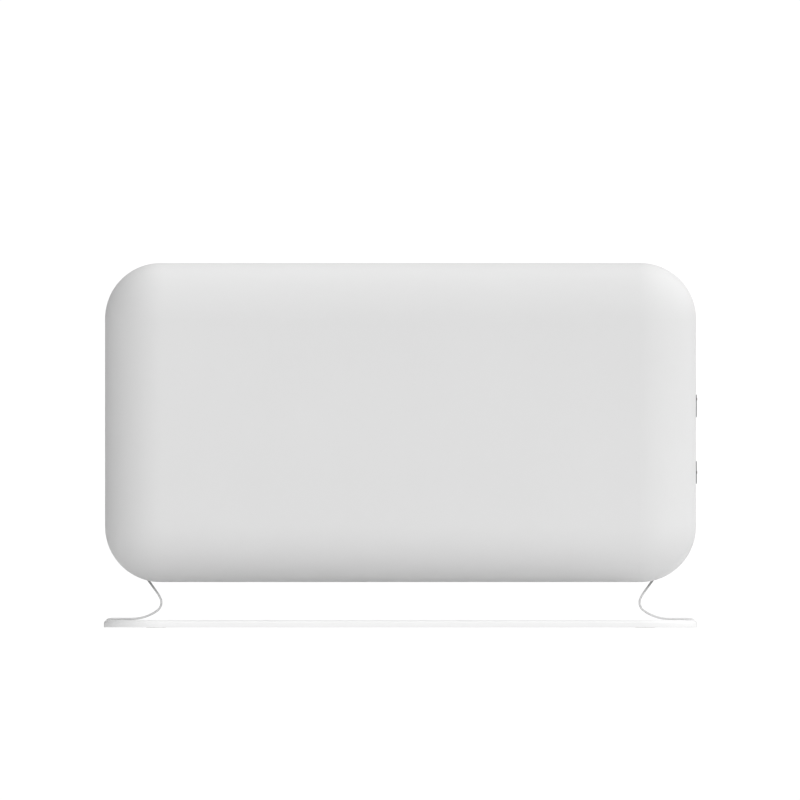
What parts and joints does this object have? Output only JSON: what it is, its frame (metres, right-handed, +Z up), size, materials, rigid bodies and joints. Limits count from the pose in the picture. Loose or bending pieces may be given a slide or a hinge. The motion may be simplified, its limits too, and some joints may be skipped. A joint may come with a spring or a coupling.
{
  "type": "convector heater",
  "caption": "Free-standing electric convector heater: a pillow-shaped body on two bent strip legs and a thin base plate, with rotary controls let into its side.",
  "frame": {"origin": "centre of the footprint of the base plate, on the floor", "axes": "+X along the width, towards the end with the controls; the front faces -Y; +Z is up"},
  "size_m": [0.66, 0.2, 0.406],
  "materials": {
    "white_powder_coat": "fine satin powder coat",
    "white_moulding": "finely grained moulded plastic",
    "knob_plastic": "satin grey lacquer",
    "lamp_lens": "clear tinted lens",
    "pad_rubber": "matt white",
    "gland_nylon": "moulded nylon",
    "zinc_sheet": "zinc coated sheet",
    "zinc_fasteners": "bright zinc plate",
    "element_fins": "extruded",
    "element_sheath": "heat-tinted stainless sheath",
    "bush_ceramic": "unglazed steatite",
    "terminal_brass": "plain",
    "switch_body": "moulded thermoset",
    "shaft_steel": "turned",
    "fuse_case": "plated can",
    "tip_switch_case": "moulded nylon",
    "pendulum_steel": "machined",
    "terminal_nylon": "moulded nylon"
  },
  "bodies": {
    "heater": {"baffle_rivets": "zinc_fasteners", "base_nuts": "zinc_fasteners", "base_plate": "white_powder_coat", "bushing_nuts": "zinc_fasteners", "cable_gland": "gland_nylon", "control_bezel": "white_moulding", "control_bracket": "zinc_sheet", "element_bushes": "bush_ceramic", "element_terminals": "terminal_brass", "frame_screws": "zinc_fasteners", "front_baffle": "zinc_sheet", "front_screws": "zinc_fasteners", "front_shell": "white_powder_coat", "fuse_clip": "zinc_sheet", "gland_nut": "gland_nylon", "grip_cup": "white_moulding", "heater_fins": "element_fins", "heater_rod": "element_sheath", "inlet_grille": "white_moulding", "leg_bolts": "zinc_fasteners", "leg_left": "white_powder_coat", "leg_nuts": "zinc_fasteners", "leg_right": "white_powder_coat", "outlet_grille": "white_moulding", "pilot_lamp": "lamp_lens", "power_switch": "switch_body", "rear_baffle": "zinc_sheet", "rear_screws": "zinc_fasteners", "rear_shell": "white_moulding", "rubber_pads": "pad_rubber", "shell_clips": "zinc_sheet", "side_frame_left": "zinc_sheet", "side_frame_right": "zinc_sheet", "terminal_block": "terminal_nylon", "thermal_cutout": "switch_body", "thermal_fuse": "fuse_case", "thermostat": "switch_body", "tip_reed_switch": "switch_body", "tip_switch_cover": "tip_switch_case", "tip_switch_housing": "tip_switch_case", "tip_switch_pin": "zinc_fasteners"},
    "power_control": {"power_knob": "knob_plastic", "power_shaft": "shaft_steel"},
    "thermostat_control": {"thermostat_knob": "knob_plastic", "thermostat_shaft": "shaft_steel"},
    "tip_pendulum": {"tip_switch_pendulum": "pendulum_steel"}
  },
  "joints": [
    {"name": "power_turn", "type": "hinge", "parent": "heater", "child": "power_control", "pos_m": [0.3246, 0, 0.247], "axis": [-1, 0, 0], "range_deg": [0, 135]},
    {"name": "thermostat_turn", "type": "hinge", "parent": "heater", "child": "thermostat_control", "pos_m": [0.3246, 0, 0.173], "axis": [-1, 0, 0], "range_deg": [-45, 225]},
    {"name": "tip_swing", "type": "hinge", "parent": "heater", "child": "tip_pendulum", "pos_m": [-0.29808, 0, 0.247], "axis": [1, 0, 0], "range_deg": [-33, 33]}
  ]
}
